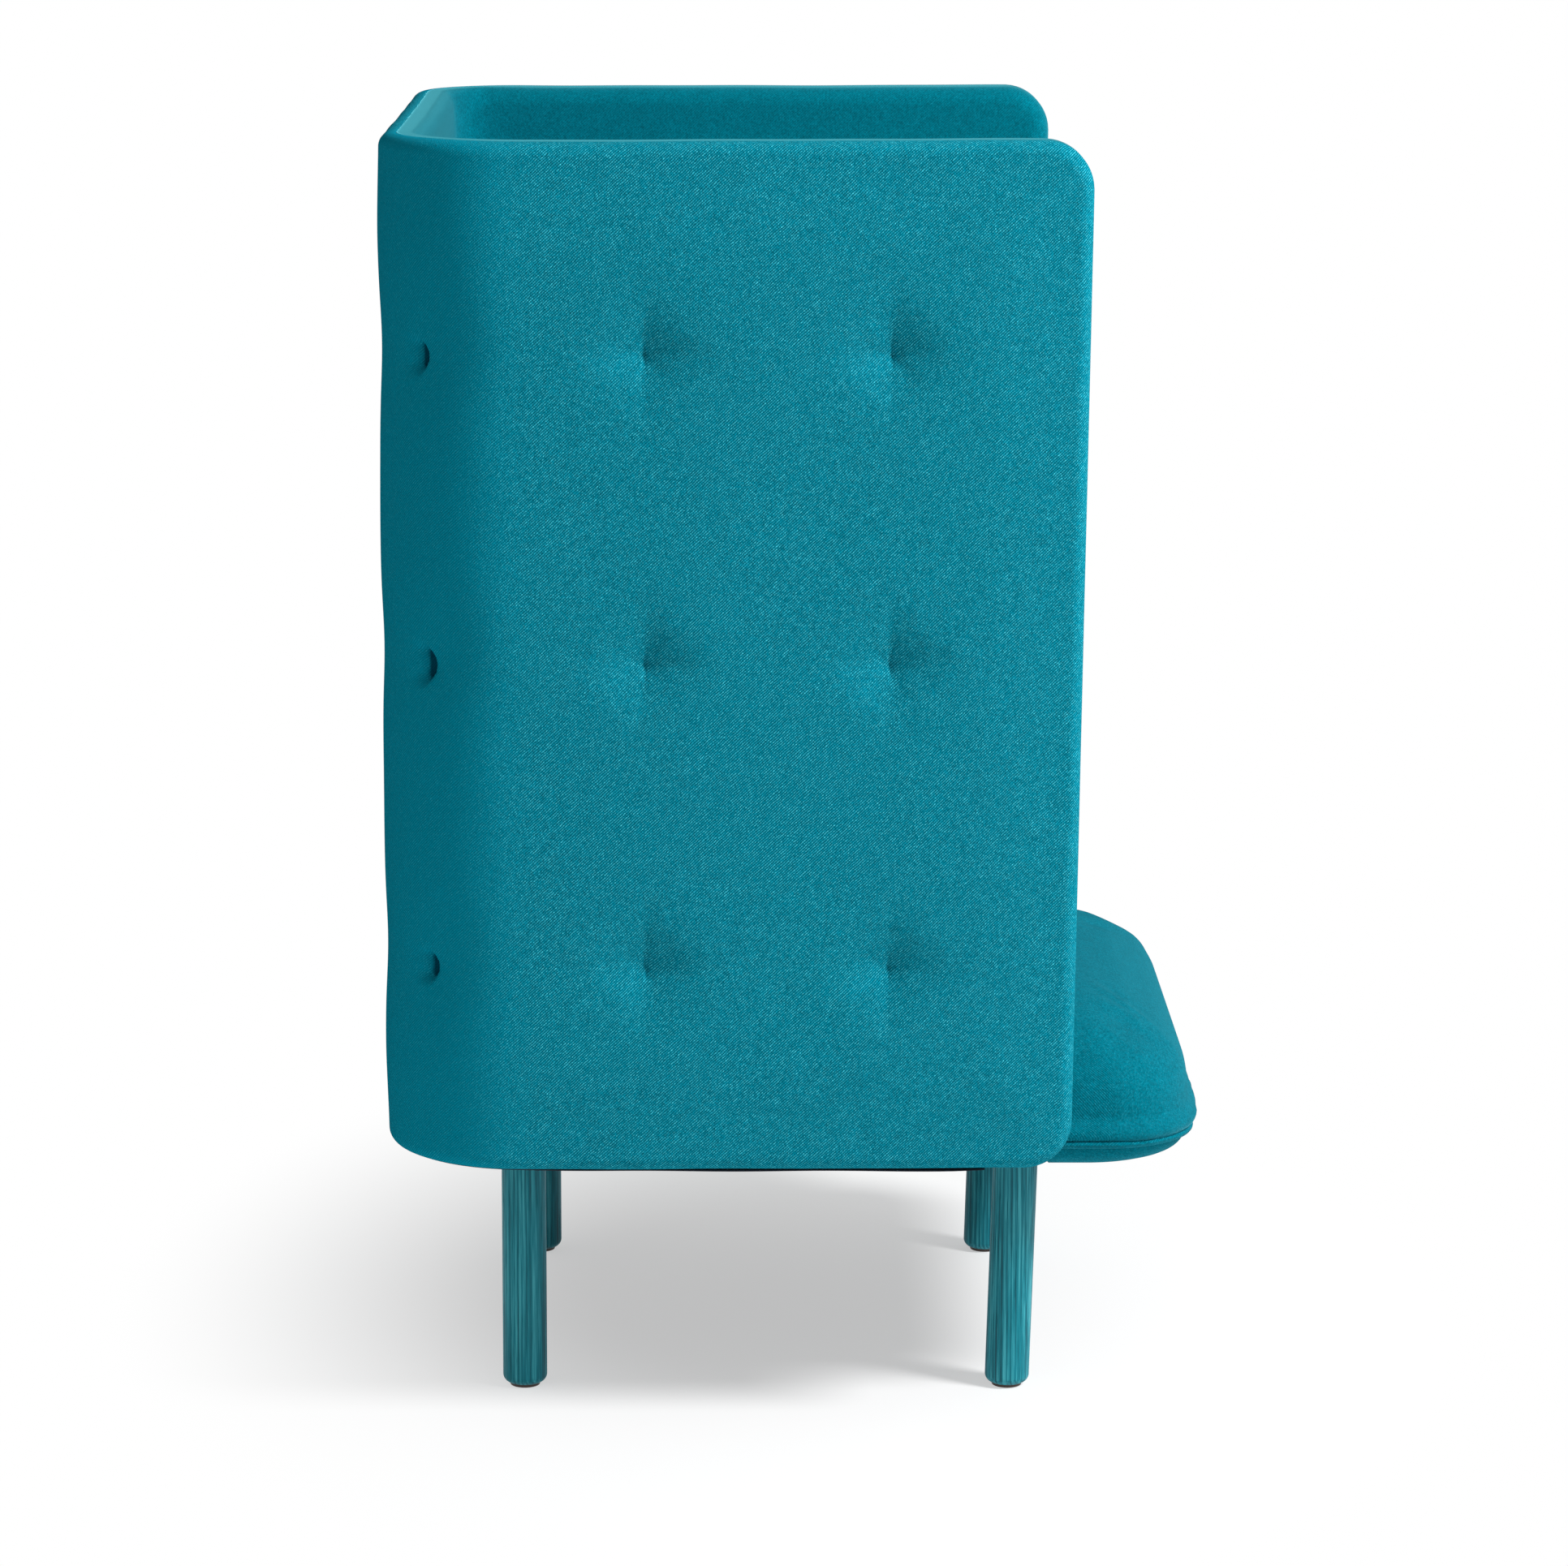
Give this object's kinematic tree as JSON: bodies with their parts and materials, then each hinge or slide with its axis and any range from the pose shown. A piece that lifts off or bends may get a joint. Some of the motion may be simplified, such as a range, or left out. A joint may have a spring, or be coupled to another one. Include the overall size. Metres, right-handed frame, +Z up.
{
  "type": "high back lounge chair",
  "caption": "High back lounge chair: a tufted upholstered screen wraps a low crowned seat on round wooden legs",
  "frame": {"origin": "on the floor, under the middle of the chair's box", "axes": "+Z is up, the sitter faces -Y, and +X is to the right for someone who faces the chair, whose left and right the node names follow"},
  "size_m": [0.818, 0.832, 1.308],
  "materials": {
    "teal_cloth": "heathered twill weave",
    "foam": "open cell foam",
    "stained_ash": "satin, open vertical grain",
    "zinc_steel": "zinc plated",
    "brown_glide": "satin",
    "hardboard": "smooth",
    "webbing": "woven",
    "dust_cloth": "non-woven",
    "waxed_twine": "waxed",
    "plywood": "raw"
  },
  "bodies": {
    "root": {"acoustic_core_1": "foam", "acoustic_core_2": "foam", "acoustic_core_3": "foam", "base_hoop": "plywood", "board_screws": "zinc_steel", "cross_straps": "webbing", "dust_cover": "dust_cloth", "front_left_glide": "brown_glide", "front_left_leg": "stained_ash", "front_leg_board": "plywood", "front_right_glide": "brown_glide", "front_right_leg": "stained_ash", "inner_cover": "teal_cloth", "inner_foam": "foam", "inner_liner": "hardboard", "left_back_stud": "plywood", "left_corner_stud": "plywood", "left_front_post": "plywood", "left_side_stud": "plywood", "leg_bolts": "zinc_steel", "leg_tee_nuts": "zinc_steel", "long_straps": "webbing", "middle_hoop_1": "plywood", "middle_hoop_2": "plywood", "outer_cover": "teal_cloth", "outer_foam": "foam", "outer_liner": "hardboard", "rail_screws": "zinc_steel", "rear_left_glide": "brown_glide", "rear_left_leg": "stained_ash", "rear_leg_board": "plywood", "rear_right_glide": "brown_glide", "rear_right_leg": "stained_ash", "right_back_stud": "plywood", "right_corner_stud": "plywood", "right_front_post": "plywood", "right_side_stud": "plywood", "screen_bolts": "zinc_steel", "screen_tee_nuts": "zinc_steel", "seat_band": "teal_cloth", "seat_cover": "teal_cloth", "seat_foam": "foam", "seat_front_rail": "plywood", "seat_left_rail": "plywood", "seat_rear_rail": "plywood", "seat_right_rail": "plywood", "seat_spacers": "plywood", "seat_welt": "teal_cloth", "top_hoop": "plywood", "tuft_ties": "waxed_twine"}
  },
  "joints": []
}
